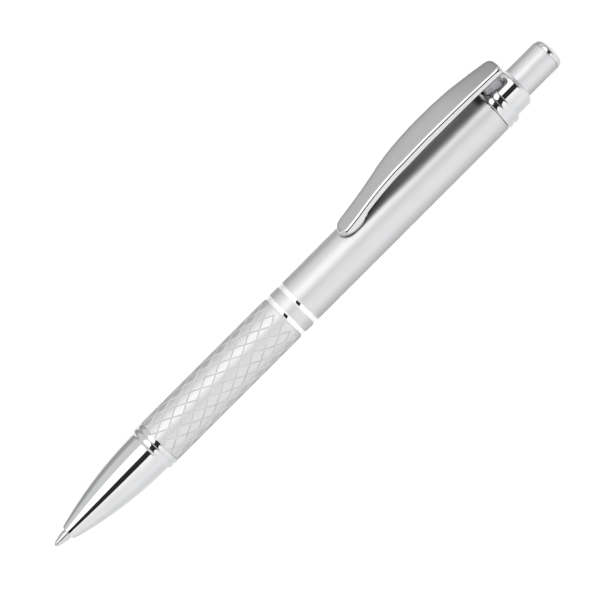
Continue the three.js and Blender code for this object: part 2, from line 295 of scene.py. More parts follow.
def ring_metal(name, dark, light):
    """Trim ring: whitish plating that is a mirror only in one narrow band of normals along the front, a
    painted reflection.
    """
    material = chrome(name, dark, light)
    tree = material.node_tree
    shader = tree.nodes["Principled BSDF"]
    geometry = add(tree, "ShaderNodeNewGeometry")
    facing = add(tree, "ShaderNodeVectorMath", operation="DOT_PRODUCT")
    facing.inputs[1].default_value = (0, -math.sin(RING_SHEEN_FACING), math.cos(RING_SHEEN_FACING))
    link(tree, geometry.outputs["Normal"], facing.inputs[0])
    inner, outer = (math.cos(half) for half in RING_SHEEN_HALF)
    # Painted reflection: mirror metal only where the normal faces the front, duller plating elsewhere.
    link(tree, remap(tree, facing.outputs["Value"], outer, inner, 0.2, 1), shader.inputs["Metallic"])
    return material


# Painted shade under the clip: how much light is left, by the share of open sky.
UNDER_CLIP_SHADES = [(0.25, 0.02), (0.38, 0.22), (0.52, 0.27), (0.62, 0.55), (0.72, 1.0)]
UNDER_CLIP_REACH = 8
CORNER_SHADE_SPAN = (UPPER[1] - 2.1, UPPER[1] - 1.1)


def painted_clip_shade(tree):
    """Factor of painted shade: darkens the lacquer's colour where the clip closes over it, but not where it
    faces the table.
    """
    open_sky = add(tree, "ShaderNodeAmbientOcclusion", samples=16)
    open_sky.inputs["Distance"].default_value = UNDER_CLIP_REACH * MM
    openness = open_sky.outputs["AO"]
    shade = ramp(tree, openness, UNDER_CLIP_SHADES)
    place = place_axes(tree)
    # Painted shade: in the corner between the barrel's end and the clip's root it is darker still.
    corner = remap(tree, place["X"], frame_x(CORNER_SHADE_SPAN[0]), frame_x(CORNER_SHADE_SPAN[1]), 0, 1)
    hidden = remap(tree, openness, 0.5, 0.66, 1, 0)
    corner_shade = math_node(tree, "MULTIPLY", corner, hidden)
    shade = math_node(tree, "MULTIPLY", shade, math_node(tree, "MULTIPLY_ADD", corner_shade, -0.85, 1))
    below = remap(tree, place["Z"], AXIS_Z + 1.0 * MM, AXIS_Z + 2.5 * MM, 1, 0)
    return math_node(tree, "MAXIMUM", shade, below)


def satin(name, base, rough, shaded=False):
    """Fine blasted and lacquered silver: soft highlights with a grain too fine to see as dots."""
    material, tree, shader = new_material(name)
    shader.inputs["Metallic"].default_value = 0.7
    vector = object_coords(tree, (1, 1, 1))
    cloud = noise(tree, vector, 90, 4)
    dark = tuple(c * 0.97 for c in base)
    tinted(tree, shader, remap(tree, cloud, 0.3, 0.7, 0, 1), dark, base)
    # Painted shade: darker on the sides that face down and on the side away from the light, and under the
    # clip when shaded.
    factor = math_node(tree, "MULTIPLY", shade_facing_down(tree, 0.22, -0.45, 0.54), shade_facing_back(tree))
    if shaded:
        factor = math_node(tree, "MULTIPLY", factor, painted_clip_shade(tree))
    darken(tree, shader, factor)
    grain = noise(tree, vector, 5200, 2, 0.7)
    rubbed = remap(tree, cloud, 0.3, 0.7, rough * 0.94, rough * 1.06)
    link(tree, rubbed, shader.inputs["Roughness"])
    link(tree, bump(tree, grain, 0.12, 0.00001), shader.inputs["Normal"])
    return material


def brushed(name, base, rough):
    """Clip finish: straight grain along the pen."""
    material, tree, shader = new_material(name)
    shader.inputs["Metallic"].default_value = 1.0
    streaks = noise(tree, object_coords(tree, (0.02, 1, 1)), 7000, 3, 0.6)
    cloud = noise(tree, object_coords(tree, (1, 1, 1)), 70, 3)
    dark = tuple(c * 0.94 for c in base)
    tinted(tree, shader, remap(tree, streaks, 0.3, 0.7, 0, 1), dark, base)
    link(tree, remap(tree, cloud, 0.3, 0.7, rough * 0.85, rough * 1.15), shader.inputs["Roughness"])
    link(tree, bump(tree, streaks, 0.15, 0.00001), shader.inputs["Normal"])
    return material


CLIP_CROWN_R = 22
CLIP_ROOT_SHADE = (112, 126)


def clip_face(name, base, rough):
    """The clip's long top face: brushed, a little crowned across its width, and with painted shade that
    darkens it towards the root.
    """
    material = brushed(name, base, rough)
    tree = material.node_tree
    shader = tree.nodes["Principled BSDF"]
    place = place_axes(tree)
    squared = math_node(tree, "MULTIPLY", place["Y"], place["Y"])
    crown = math_node(tree, "MULTIPLY", squared, -0.5 / (CLIP_CROWN_R * MM))
    grain = shader.inputs["Normal"].links[0].from_socket
    link(tree, bump(tree, crown, 1.0, 1.0, grain), shader.inputs["Normal"])
    # Painted shade: the base colour darkens towards the root.
    darken(tree, shader, remap(tree, place["X"], frame_x(CLIP_ROOT_SHADE[0]), frame_x(CLIP_ROOT_SHADE[1]), 1, 0.68))
    return material


def turned_metal(name, base, rough):
    """Lathe-turned metal: rings of tool marks round the axis."""
    material, tree, shader = new_material(name)
    shader.inputs["Metallic"].default_value = 1.0
    rings = noise(tree, object_coords(tree, (1, 0.02, 0.02)), 5200, 3, 0.6)
    dark = tuple(c * 0.93 for c in base)
    tinted(tree, shader, remap(tree, rings, 0.3, 0.7, 0, 1), dark, base)
    link(tree, remap(tree, rings, 0.3, 0.7, rough * 0.8, rough * 1.2), shader.inputs["Roughness"])
    link(tree, bump(tree, rings, 0.2, 0.00001), shader.inputs["Normal"])
    return material


def plastic(name, base, rough):
    material, tree, shader = new_material(name)
    vector = object_coords(tree, (1, 1, 1))
    cloud = noise(tree, vector, 300, 4)
    dark = tuple(c * 0.93 for c in base)
    tinted(tree, shader, remap(tree, cloud, 0.3, 0.7, 0, 1), dark, base)
    link(tree, remap(tree, cloud, 0.3, 0.7, rough * 0.85, rough * 1.15), shader.inputs["Roughness"])
    link(tree, bump(tree, noise(tree, vector, 3000, 2), 0.1, 0.00002), shader.inputs["Normal"])
    return material


# Painted shade: the polished chrome keeps 0.78 of its colour where it faces down.
CHROME = chrome("polished_chrome", (0.68, 0.685, 0.695), (0.73, 0.733, 0.74), lowest_shade=0.78)
RING = ring_metal("bright_ring", (0.86, 0.86, 0.87), (0.90, 0.90, 0.91))
SATIN = satin("satin_silver", (0.68, 0.68, 0.69), 0.46)
# Painted shade: this copy of the satin darkens under the clip.
SATIN_CLIP_SHADE = satin("satin_silver_barrel_clip_shade", (0.68, 0.68, 0.69), 0.46, shaded=True)
CLIP_TOP = clip_face("brushed_clip", (0.60, 0.595, 0.595), 0.24)
CLIP_SIDE = chrome("clip_side_chrome", (0.69, 0.69, 0.70), (0.72, 0.72, 0.73))
# Painted shade: a near-black lower edge, standing for the dark line where the clip meets the barrel.
CLIP_LIP_SHADE = brushed("clip_lower_edge_shade", (0.07, 0.07, 0.075), 0.35)
# Painted shade: a mid-grey underside, standing for the shade under the clip.
CLIP_UNDER_SHADE = brushed("clip_underside_shade", (0.32, 0.32, 0.325), 0.4)
POST = turned_metal("root_post", (0.36, 0.36, 0.37), 0.22)
POINT = turned_metal("nickel_silver_point", (0.66, 0.66, 0.66), 0.12)
BRASS = turned_metal("turned_brass", (0.80, 0.62, 0.34), 0.3)
STEEL = turned_metal("turned_steel", (0.62, 0.63, 0.65), 0.25)
CARBIDE = turned_metal("carbide_ball", (0.42, 0.43, 0.45), 0.15)
NYLON = plastic("white_nylon", (0.88, 0.87, 0.84), 0.45)
BLACK = plastic("black_plastic", (0.03, 0.03, 0.033), 0.4)


# ---------------------------------------------------------------- mesh helpers
SHARP_ANGLE = math.radians(38)


def mesh_object(name, bm, *materials, sharp=SHARP_ANGLE):
    """Turn a bmesh in stations and millimetres into an object in the frame's metres."""
    for vert in bm.verts:
        x, y, z = vert.co
        vert.co = (frame_x(x), y * MM, AXIS_Z + z * MM)
    bmesh.ops.recalc_face_normals(bm, faces=bm.faces)
    for face in bm.faces:
        face.smooth = True
    for edge in bm.edges:
        if len(edge.link_faces) == 2 and edge.calc_face_angle(0) > sharp:
            edge.smooth = False
    mesh = bpy.data.meshes.new(name)
    bm.to_mesh(mesh)
    bm.free()
    for material in materials:
        mesh.materials.append(material)
    piece = bpy.data.objects.new(name, mesh)
    bpy.context.scene.collection.objects.link(piece)
    return piece


def rounded(points, arc=4):
    """Round the corners of an open outline of (station, radius) or (station, radius, corner radius)."""
    result = []
    for i, point in enumerate(points):
        corner = point[2] if len(point) > 2 else 0
        if not corner or i in (0, len(points) - 1):
            result.append(point[:2])
            continue
        before = (points[i - 1][0] - point[0], points[i - 1][1] - point[1])
        after = (points[i + 1][0] - point[0], points[i + 1][1] - point[1])
        length_a = math.hypot(*before)
        length_b = math.hypot(*after)
        ua = (before[0] / length_a, before[1] / length_a)
        ub = (after[0] / length_b, after[1] / length_b)
        half = math.acos(max(-1, min(1, ua[0] * ub[0] + ua[1] * ub[1]))) / 2
        back = corner / math.tan(half)
        middle = ((ua[0] + ub[0]) / 2, (ua[1] + ub[1]) / 2)
        size = math.hypot(*middle)
        reach = corner / math.sin(half)
        centre = (point[0] + middle[0] / size * reach, point[1] + middle[1] / size * reach)
        start = (point[0] + ua[0] * back, point[1] + ua[1] * back)
        end = (point[0] + ub[0] * back, point[1] + ub[1] * back)
        a0 = math.atan2(start[1] - centre[1], start[0] - centre[0])
        a1 = math.atan2(end[1] - centre[1], end[0] - centre[0])
        turn = (a1 - a0 + math.pi) % (2 * math.pi) - math.pi
        for k in range(arc + 1):
            angle = a0 + turn * k / arc
            result.append((centre[0] + corner * math.cos(angle), centre[1] + corner * math.sin(angle)))
    return result


def turned(name, outline, material, segments=SEGMENTS, closed=True):
    """Revolve an outline of (station, radius) round the pen's axis. Points on the axis become one vertex."""
    bm = bmesh.new()
    rings = []
    for station, r in outline:
        if r < 1e-6:
            rings.append([bm.verts.new((station, 0, 0))])
            continue
        ring = []
        for k in range(segments):
            angle = 2 * math.pi * k / segments
            ring.append(bm.verts.new((station, r * math.cos(angle), r * math.sin(angle))))
        rings.append(ring)
    count = len(rings)
    pairs = [(i, i + 1) for i in range(count - 1)]
    if closed and len(rings[0]) > 1:
        pairs.append((count - 1, 0))
    for i, j in pairs:
        a, b = rings[i], rings[j]
        for k in range(segments):
            n = (k + 1) % segments
            corners = [a[k % len(a)], a[n % len(a)], b[n % len(b)], b[k % len(b)]]
            unique = []
            for corner in corners:
                if corner not in unique:
                    unique.append(corner)
            if len(unique) > 2:
                bm.faces.new(unique)
    return mesh_object(name, bm, material)


def smooth_curve(points, x):
    """Catmull-Rom through (x, value) points, read at x."""
    xs = [p[0] for p in points]
    i = max(0, min(len(points) - 2, next((k for k in range(len(xs) - 1) if x <= xs[k + 1]), len(xs) - 2)))
    p1, p2 = points[i], points[i + 1]
    p0 = points[i - 1] if i else (2 * p1[0] - p2[0], 2 * p1[1] - p2[1])
    p3 = points[i + 2] if i + 2 < len(points) else (2 * p2[0] - p1[0], 2 * p2[1] - p1[1])
    width = p2[0] - p1[0]
    t = (x - p1[0]) / width
    m1 = (p2[1] - p0[1]) / (p2[0] - p0[0]) * width
    m2 = (p3[1] - p1[1]) / (p3[0] - p1[0]) * width
    return ((2 * t**3 - 3 * t**2 + 1) * p1[1] + (t**3 - 2 * t**2 + t) * m1
            + (-2 * t**3 + 3 * t**2) * p2[1] + (t**3 - t**2) * m2)


def settle(piece, body, slot, *nodes):
    """Put a piece on its body and name the CAD nodes that it takes the place of. Its slot is not used."""
    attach(piece, body)
    if nodes:
        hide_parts(*nodes)
    return piece


BEAD_DIP_R = 5.14
BEAD_STEPS = 16


def bead(start, end, root_r, crown_r, end_root_r):
    """Round bead: a circular arc on each side of the crown, each with its own root radius."""
    half = (end - start) / 2
    points = []
    for i in range(BEAD_STEPS + 1):
        x = half * (2 * i / BEAD_STEPS - 1)
        rise = crown_r - (root_r if x <= 0 else end_root_r)
        bend = (half * half + rise * rise) / (2 * rise)
        points.append((start + half + x, crown_r - bend + math.sqrt(bend * bend - x * x)))
    return points


def flare(start, end, start_r, end_r, steps=12):
    """Smooth S-curve from one radius to another."""
    points = []
    for i in range(steps + 1):
        share = (1 - math.cos(math.pi * i / steps)) / 2
        points.append((start + (end - start) * i / steps, start_r + (end_r - start_r) * share))
    return points


# ---------------------------------------------------------------- nose and writing point
NOSE_OGIVE_END = 23.1
NOSE_BEAD_SPLIT = 24.8
NOSE_OPENING_R = 1.65
NOSE_END_R = 4.95
NOSE_BEADS_R = (5.36, radius("nose_cone"))
NECK_LENGTH = 0.12
NECK_R = 4.7
NOSE_SPIGOT_END = span("nose_cone")[1]
SPIGOT_R = 4.23
SPIGOT_BORE_R = 3.35
CHAMBER_R = 2.65
REFILL_HOLE_R = 1.7
LIP_R = 0.3


def nose_radius(station):
    """Radius of the nose's ogive, a parabola that is level with the pen's axis at its rear end."""
    left = 1 - station / NOSE_OGIVE_END
    return NOSE_END_R - (NOSE_END_R - NOSE_OPENING_R) * left * left


def make_nose():
    """Nose: a rounded lip, a long ogive, two beads, and behind them the spigot inside the grip barrel."""
    hole_r = TIP_R + 0.12
    outline = [(3.9, hole_r), (0.12, hole_r), (0.0, hole_r + 0.1), (0.0, NOSE_OPENING_R - LIP_R)]
    for k in range(1, 5):
        angle = math.pi / 2 * k / 4
        outline.append((LIP_R - LIP_R * math.cos(angle), NOSE_OPENING_R - 0.25 + LIP_R * math.sin(angle)))
    steps = 60
    for i in range(1, steps):
        station = LIP_R + (NOSE_OGIVE_END - LIP_R) * i / steps
        outline.append((station, nose_radius(station)))
    first_crown = (NOSE_OGIVE_END + NOSE_BEAD_SPLIT) / 2
    outline += flare(NOSE_OGIVE_END, first_crown, NOSE_END_R - 0.05, NOSE_BEADS_R[0])
    # Only the rear half of the first bead: the flare has led up to its crown.
    first_start = 2 * first_crown - NOSE_BEAD_SPLIT
    first_bead = bead(first_start, NOSE_BEAD_SPLIT, BEAD_DIP_R, NOSE_BEADS_R[0], BEAD_DIP_R)
    outline += first_bead[BEAD_STEPS // 2 + 1:]
    neck = GRIP[0] - NECK_LENGTH
    outline += bead(NOSE_BEAD_SPLIT, neck, BEAD_DIP_R + 0.05, NOSE_BEADS_R[1], BARREL_R + 0.04)
    face = GRIP[0] - 0.01
    outline += [(neck, NECK_R), (face, NECK_R), (face, SPIGOT_R), (NOSE_SPIGOT_END, SPIGOT_R)]
    # Back inside the nose: the spigot's bore, the spring's chamber and the hole for the refill's front.
    outline += [(NOSE_SPIGOT_END, SPIGOT_BORE_R), (22.6, SPIGOT_BORE_R), (21.2, CHAMBER_R), (10.3, CHAMBER_R),
                (10.2, REFILL_HOLE_R), (4.1, REFILL_HOLE_R)]
    settle(turned("nose", outline, CHROME), "root", "chrome", "nose_cone")


TIP_REAR = 5.6
BALL_R = 0.35
# Radii of the writing point by the distance from the front of the ball.
TIP_SHAPE = [(0.3, 0.44), (0.55, 0.6), (0.95, 0.7), (1.4, 0.79), (1.95, 0.93), (2.6, TIP_R - 0.01),
             (3.0, TIP_R)]


def make_point():
    """Writing point: a socket for the ball, and a cone that widens in two steps to the refill's front."""
    socket_r = BALL_R + 0.03
    outline = [(TIP_REAR, 0.5), (BALL_END + 0.8, socket_r), (BALL_END + TIP_SHAPE[0][0], socket_r)]
    steps = 40
    first, last = TIP_SHAPE[0][0], TIP_SHAPE[-1][0]
    for i in range(steps + 1):
        distance = first + (last - first) * i / steps
        outline.append((BALL_END + distance, smooth_curve(TIP_SHAPE, distance)))
    outline.append((TIP_REAR, TIP_R))
    settle(turned("point", outline, POINT, 96), "refill", "steel", "refill_tip")
    ball = []
    steps = 16
    for i in range(steps + 1):
        angle = math.pi * i / steps
        ball.append((BALL_END + BALL_R - BALL_R * math.cos(angle), BALL_R * math.sin(angle)))
    settle(turned("ball", ball, CARBIDE, 48, closed=False), "refill", "steel", "writing_ball")


make_nose()
make_point()


# ---------------------------------------------------------------- barrels, rings, cap and button
def tube(name, start, end, r, bore, edge, material, slot, *nodes, body="root"):
    """Plain sleeve with rounded outer edges."""
    outline = rounded([
        (start, bore), (start, r, edge), (end, r, edge), (end, bore),
    ])
    return settle(turned(name, outline, material), body, slot, *nodes)


GRIP_LINES = 14
GRIP_PITCH = 4.1
GROOVE_HALF = 0.13
GROOVE_DEPTH = 0.11
GRIP_PHASE_X = 29.15
GRIP_PHASE_ANGLE = math.radians(75.4)
GRIP_MARGIN = (0.05, 0.7)
GRIP_TRIM = 0.02
GRIP_EDGE_DROP = 0.03


def groove_edge():
    """Half width of a groove as a share of the spacing between two grooves."""
    arc = 2 * math.pi * BARREL_R / GRIP_LINES
    spacing = GRIP_PITCH * arc / math.hypot(GRIP_PITCH, arc)
    return GROOVE_HALF / spacing


def engraved_grid(start, end):
    """Surface engraved with two families of helical V grooves. Its own grid lines u and v run along them."""
    edge = groove_edge()
    cuts = [0, edge * 0.5, edge, edge * 1.35, 0.3, 0.5, 0.7, 1 - edge * 1.35, 1 - edge, 1 - edge * 0.5]
    lines = GRIP_LINES * len(cuts)
    bm = bmesh.new()
    verts = {}

    def groove(value):
        return max(0.0, 1 - abs(value - round(value)) / edge)

    def vertex(iu, iv):
        # The pattern closes after one turn, which is GRIP_LINES more in u and as many fewer in v.
        while iu - iv >= lines * 2:
            iu, iv = iu - lines, iv + lines
        while iu - iv < 0:
            iu, iv = iu + lines, iv - lines
        if (iu, iv) not in verts:
            u = iu // len(cuts) + cuts[iu % len(cuts)]
            v = iv // len(cuts) + cuts[iv % len(cuts)]
            station = GRIP_PHASE_X + (u + v) / 2 * GRIP_PITCH
            angle = (u - v) / 2 / GRIP_LINES * 2 * math.pi + GRIP_PHASE_ANGLE
            fade_in = min(1, max(0, (station - start) / GRIP_MARGIN[0]))
            fade_out = min(1, max(0, (end - station) / GRIP_MARGIN[1] - 0.5))
            r = BARREL_R - max(groove(u), groove(v)) * GROOVE_DEPTH * fade_in * fade_out
            verts[iu, iv] = bm.verts.new((station, r * math.cos(angle), r * math.sin(angle)))
        return verts[iu, iv]

    first = math.floor((start - GRIP_PHASE_X) / GRIP_PITCH * 2) - 2
    last = math.ceil((end - GRIP_PHASE_X) / GRIP_PITCH * 2) + 2
    for difference in range(2 * lines):
        for total in range(first * len(cuts), last * len(cuts)):
            if (total - difference) % 2 == 0:
                iu, iv = (total + difference) // 2, (total - difference) // 2
                bm.faces.new([vertex(iu, iv), vertex(iu + 1, iv), vertex(iu + 1, iv + 1), vertex(iu, iv + 1)])
    return bm


def close_end(bm, trim_station, face_station, outward):
    """Cut the engraved surface off square, and add its edge and its end face down to the bore."""
    geometry = bm.verts[:] + bm.edges[:] + bm.faces[:]
    bmesh.ops.bisect_plane(bm, geom=geometry, dist=1e-5, plane_co=(trim_station, 0, 0),
                           plane_no=(outward, 0, 0), clear_outer=True)
    rim = [e for e in bm.edges if e.is_boundary and abs(e.verts[0].co.x - trim_station) < 1e-3]
    for r in (BARREL_R - GRIP_EDGE_DROP, BORE_R):
        made = bmesh.ops.extrude_edge_only(bm, edges=rim)["geom"]
        for vert in [item for item in made if isinstance(item, bmesh.types.BMVert)]:
            angle = math.atan2(vert.co.z, vert.co.y)
            vert.co = (face_station, r * math.cos(angle), r * math.sin(angle))
        edges = [item for item in made if isinstance(item, bmesh.types.BMEdge) and item.is_boundary]
        rim = [e for e in edges if all(abs(v.co.x - face_station) < 1e-6 for v in e.verts)]


def make_grip():
    start, end = GRIP
    bm = engraved_grid(start, end)
    close_end(bm, start + GRIP_TRIM, start, -1)
    close_end(bm, end - GRIP_TRIM, end, 1)
    grip = mesh_object("grip", bm, SATIN, sharp=math.radians(60))
    settle(grip, "root", "satin_silver", "grip_barrel")


RING_EDGE_R = RING_R - 0.17
TUBE_EDGE_R = 0.04
COLLAR_SHADOW_GAP = 0.14


def make_ring(name, start, end, node):
    outline = [(start, BORE_R), *bead(start, end, RING_EDGE_R, RING_R + 0.01, RING_EDGE_R), (end, BORE_R)]
    settle(turned(name, outline, RING), "root", "chrome", node)


make_grip()
tube("band", *BAND, radius("centre_band"), BORE_R, TUBE_EDGE_R, SATIN, "satin_silver", "centre_band")
tube("barrel", UPPER[0], UPPER[1] - COLLAR_SHADOW_GAP, UPPER_R, BORE_R, TUBE_EDGE_R, SATIN_CLIP_SHADE,
     "satin_silver", "upper_barrel")
make_ring("trim_ring_front", GRIP[1], BAND[0], "lower_trim_ring")
make_ring("trim_ring_rear", BAND[1], UPPER[0], "upper_trim_ring")


COLLAR_CROWN_R = 5.36


def make_collar():
    start, end = COLLAR
    split = (start + end) / 2
    outline = [(start, BORE_R)]
    outline += bead(start + 0.01, split, 5.0, COLLAR_CROWN_R - 0.02, BEAD_DIP_R)
    outline += bead(split, end, BEAD_DIP_R, COLLAR_CROWN_R, BEAD_DIP_R)
    outline.append((end, BORE_R))
    settle(turned("collar", outline, CHROME), "root", "chrome", "clip_collar")


CAP_CHAMFER = 0.8
CAP_BORE_R = 3.52
CAP_SPIGOT_START = span("end_cap")[0]
PUSH_FACE_R = 1.2
DOME_SQUARENESS = 2.4
BUTTON_BORE_R = 3.05
BUTTON_PLUG_START = span("button_end_cap")[0]
BUTTON_PLUG_R = 2.98
BUTTON_SEAM = 0.08


def make_cap():
    """End cap: a spigot inside the barrel, a polished band and a rounded chamfer round the button."""
    face = COLLAR[1] + 0.02
    outline = rounded([
        (CAP_SPIGOT_START, CAP_BORE_R),
        (CAP_SPIGOT_START, SPIGOT_R),
        (face, SPIGOT_R),
        (face, CAP_R),
        (CAP_END - CAP_CHAMFER, CAP_R, 0.9),
        (CAP_END, CAP_BORE_R + 0.16, 0.12),
        (CAP_END - 0.1, CAP_BORE_R),
    ], arc=12)
    settle(turned("cap", outline, CHROME), "root", "chrome", "end_cap")


def make_button():
    """Button: a satin sleeve, and a polished cap with a dome between an ellipse and a square."""
    start, end = BUTTON_SLEEVE
    tube("button", start, end, BUTTON_R, BUTTON_BORE_R, 0.1, SATIN, "satin_silver", "button_sleeve",
         body="button")
    seam = end + BUTTON_SEAM
    outline = [(BUTTON_PLUG_START, 0), (BUTTON_PLUG_START, BUTTON_PLUG_R), (seam, BUTTON_PLUG_R),
               (seam, BUTTON_R - 0.08), (seam + 0.05, BUTTON_R - 0.02)]
    dome = seam + 0.08
    power = 2 / DOME_SQUARENESS
    face_angle = math.acos((PUSH_FACE_R / BUTTON_R) ** (1 / power))
    for k in range(33):
        angle = face_angle * k / 32
        rise = (BUTTON_CAP_END - dome) * (math.sin(angle) / math.sin(face_angle)) ** power
        outline.append((dome + rise, BUTTON_R * math.cos(angle) ** power))
    outline.append((BUTTON_CAP_END, 0))
    settle(turned("button_cap", outline, CHROME, closed=False), "button", "chrome", "button_end_cap")


make_collar()
make_cap()
make_button()


# ---------------------------------------------------------------- clip
CLIP_TOP_LINE = [(80.4, 6.45), (81, 6.72), (82, 6.98), (84.8, 7.52), (90.5, 8.8), (96.2, 10.0), (101, 10.5),
                 (106.5, 10.75), (114.7, 10.5), (121.6, 9.75), (126.1, 9.1)]
CLIP_HALF_WIDTH = [(80.4, 1.9), (83.2, 2.07), (90.5, 2.15), (96.2, 2.6), (99.9, 2.87), (106.6, 3.02),
                   (110.7, 3.03), (114.7, 2.95), (117.8, 2.78), (121.6, 2.53), (126.1, 2.2)]
CLIP_FOOT_LINE = [(80.4, 5.35), (82, 5.17), (83, 4.9), (84.2, 4.84), (85.0, 4.92), (85.7, 5.25), (86.8, 6.1),
                  (87.9, 6.75), (89.5, 7.1)]
CLIP_THICKNESS = [(80, 1.5), (92, 1.6), (106.5, 1.65), (118, 1.45), (126.1, 1.35)]
FOOT_SADDLE_R = UPPER_R + 0.06
FOOT_END = 95
# The upper corner of the clip: arcs of (radius, turn in degrees), polished as one soft edge.
CLIP_CORNER = [(0.95, 38.5), (1.2, 12), (0.3, 39.5)]


def corner_profile(scale):
    """The upper corner as points of (in from the side, down from the top)."""
    points = []
    heading = 0.0
    y = z = 0.0
    steps = 5
    for r, turn in CLIP_CORNER:
        for k in range(steps):
            points.append((y, z))
            a0 = math.radians(heading + turn * k / steps)
            a1 = math.radians(heading + turn * (k + 1) / steps)
            y += r * (math.sin(a1) - math.sin(a0))
            z += r * (math.cos(a0) - math.cos(a1))
        heading += turn
    points.append((y, z))
    return [((y - py) * scale, pz * scale) for py, pz in points]


def section(x, half, top, bottom, scale, low_corner):
    """Clip section across the pen, from the middle of the top round one side and back by the other."""
    corner = corner_profile(scale)
    inner = half - corner[0][0]
    points = [(inner * k / 6, top) for k in range(6)]
    points += [(half - inward, top - down) for inward, down in corner]
    for k in range(6):
        angle = math.pi / 2 * k / 5
        points.append((half - low_corner + low_corner * math.cos(angle),
                       bottom + low_corner - low_corner * math.sin(angle)))
    points += [((half - low_corner) * (1 - k / 8), bottom) for k in range(1, 9)]
    mirrored = [(-y, z) for y, z in reversed(points[1:-1])]
    ring = []
    for y, z in points + mirrored:
        clear = math.sqrt(max(0.0, FOOT_SADDLE_R ** 2 - y * y))
        ring.append((x, y, max(z, clear) if x < FOOT_END else z))
    return ring


def loft(name, sections, *materials, paint=None):
    """Skin over sections with the same number of points, closed by flat ends."""
    bm = bmesh.new()
    rings = [[bm.verts.new(p) for p in ring] for ring in sections]
    for a, b in zip(rings, rings[1:]):
        for k in range(len(a)):
            n = (k + 1) % len(a)
            face = bm.faces.new([a[k], a[n], b[n], b[k]])
            if paint:
                face.material_index = paint(k, len(a))
    bm.faces.new(rings[0])
    bm.faces.new(rings[-1])
    return mesh_object(name, bm, *materials)


# Material slots round half a section: each pair is the first step past a slot, and the slot.
CLIP_SLOTS = [(7, 0), (17, 1), (22, 2), (27, 3)]
UNDERSIDE_SLOT = 4


def clip_paint(k, count):
    """Brushed on top, polished corners and sides, and painted shade on the lower edge and underneath."""
    k = min(k, count - 1 - k)
    return next((slot for limit, slot in CLIP_SLOTS if k < limit), UNDERSIDE_SLOT)


def clip_low(x):
    """Height of the blade's underside, or of the foot's."""
    low = smooth_curve(CLIP_TOP_LINE, x) - smooth_curve(CLIP_THICKNESS, x)
    if x < CLIP_FOOT_LINE[-1][0]:
        low = min(low, smooth_curve(CLIP_FOOT_LINE, x))
    return low


TIP_ROUND = 1.9
END_ROUND = 0.9
FINE_PART_END = 90
LIP = 0.14
FOOT_LIP = 0.42
FOOT_LIP_END = 86.5
CORNER_WIDENING = 1.5


def clip_stations(start, end):
    """Stations of the clip's sections, closer together where its ends are rounded and at its foot."""
    tip_end, round_start = start + TIP_ROUND, end - END_ROUND
    stations = [start + TIP_ROUND * (1 - math.cos(math.pi / 2 * k / 24)) for k in range(24)]
    stations += [tip_end + (FINE_PART_END - tip_end) * k / 50 for k in range(50)]
    stations += [FINE_PART_END + (round_start - FINE_PART_END) * k / 100 for k in range(101)]
    return stations + [round_start + END_ROUND * math.sin(math.pi / 2 * k / 10) for k in range(1, 11)]


def clip_section(x, start, end):
    """Section at one station, closed in towards the tip and rounded off at the root end."""
    half = smooth_curve(CLIP_HALF_WIDTH, x)
    top = smooth_curve(CLIP_TOP_LINE, x)
    low = clip_low(x)
    if x < start + TIP_ROUND:
        back = min(1.0, (start + TIP_ROUND - x) / TIP_ROUND)
        half *= max(0.06, (1 - back ** 1.9) ** 0.5)
        closing = max(0.5, (1 - back ** 5) ** 0.5)
        middle = (top + low) / 2
        top = middle + (top - middle) * closing
        low = middle + (low - middle) * closing
    if x > end - END_ROUND:
        part = (x - (end - END_ROUND)) / END_ROUND
        drop = 1 - math.sqrt(max(0.0, 1 - part * part))
        half -= drop * END_ROUND
        top -= drop * 0.5
    widening = 1 + 0.5 * max(0.0, (x - end + CORNER_WIDENING) / CORNER_WIDENING)
    scale = min(widening, half * 0.95, (top - low) * 1.05)
    lip = min(FOOT_LIP if x < FOOT_LIP_END else LIP, (top - low) * 0.24, half * 0.4)
    return section(x, half, top, low, scale, lip)


def make_clip():
    """Clip blade with a foot that rests on the barrel, in one loft."""
    rings = [clip_section(x, *CLIP) for x in clip_stations(*CLIP)]
    blade = loft("clip_blade", rings, CLIP_TOP, CHROME, CLIP_SIDE, CLIP_LIP_SHADE, CLIP_UNDER_SHADE, paint=clip_paint)
    settle(blade, "clip", "brushed_clip", "clip")


POST_START = 119.9
POST_END = 125.2
POST_HALF = 1.45
POST_GAP = 0.1
POST_FLARE = 1.7
POST_SINK = 0.05


def make_clip_root():
    """Root post between the blade's end and the collar and cap, rounded in plan, flowing into the blade."""
    outline = []
    steps = 16
    for cx, first in ((POST_END - POST_HALF, -90), (POST_START + POST_HALF, 90)):
        for k in range(steps + 1):
            angle = math.radians(first + 180 * k / steps)
            outline.append((cx, math.cos(angle), math.sin(angle)))
    # The foot follows the collar's crown and, further back, the cap.
    foot = []
    for cx, nx, ny in outline:
        x, y = cx + POST_HALF * nx, POST_HALF * ny
        part = min(1, max(0, (x - COLLAR[1] + 0.2) / 0.4))
        r = COLLAR_CROWN_R + (CAP_R - COLLAR_CROWN_R) * part * part * (3 - 2 * part) + POST_GAP
        foot.append((x, y, math.sqrt(r * r - y * y)))
    rings = [foot]
    steps = 12
    for k in range(steps + 1):
        turn = math.pi / 2 * k / steps
        out, rise = POST_FLARE * (1 - math.cos(turn)), POST_FLARE * math.sin(turn)
        ring = []
        for cx, nx, ny in outline:
            x, y = cx + (POST_HALF + out * 0.5) * nx, (POST_HALF + out * 0.45) * ny
            ring.append((x, y, clip_low(min(x, CLIP[1] - 0.1)) - POST_FLARE + rise + POST_SINK))
        rings.append(ring)
    settle(loft("clip_root", rings, POST), "clip", "chrome")


make_clip()
make_clip_root()


# ---------------------------------------------------------------- inside
SPRING_WIRE_R = 0.2
SPRING_TURNS = 8


